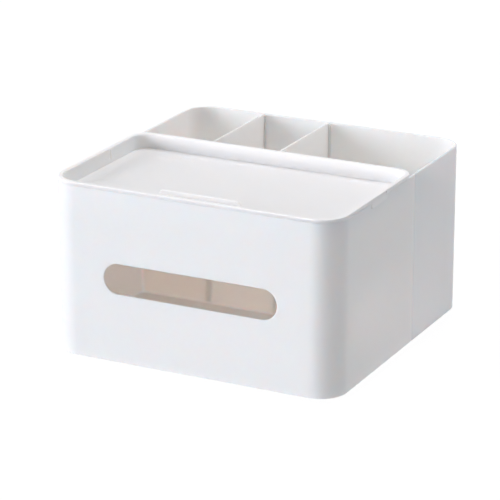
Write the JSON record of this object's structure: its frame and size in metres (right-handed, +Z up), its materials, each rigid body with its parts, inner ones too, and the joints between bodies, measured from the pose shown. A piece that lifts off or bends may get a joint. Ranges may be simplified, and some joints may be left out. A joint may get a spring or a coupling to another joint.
{
  "type": "tissue box holder",
  "caption": "White plastic tissue box holder with a front slot, a lift-off tray lid and a divided organiser behind.",
  "frame": {"origin": "middle of the footprint, at the surface the pads stand on", "axes": "+X to the object's right seen from the slot side, +Y from the slot side to the organiser, +Z up"},
  "size_m": [0.226, 0.2266, 0.1306],
  "materials": {
    "case": "semi-gloss white moulded ABS",
    "lid": "semi-gloss white moulded ABS",
    "divider": "semi-gloss white moulded ABS",
    "pad": "matt translucent grey silicone"
  },
  "bodies": {
    "case": {"case_body": "case", "pad_front_left": "pad", "pad_front_right": "pad", "pad_rear_left": "pad", "pad_rear_right": "pad"},
    "lid": {"tray_lid": "lid"},
    "divider_left": {"divider_left": "divider"},
    "divider_right": {"divider_right": "divider"}
  },
  "joints": [
    {"name": "lid_lift", "type": "slide", "parent": "case", "child": "lid", "axis": [0, 0, 1], "range_m": [0, 0.06]},
    {"name": "divider_left_lift", "type": "slide", "parent": "case", "child": "divider_left", "axis": [0, 0, 1], "range_m": [0, 0.122]},
    {"name": "divider_right_lift", "type": "slide", "parent": "case", "child": "divider_right", "axis": [0, 0, 1], "range_m": [0, 0.122]}
  ]
}
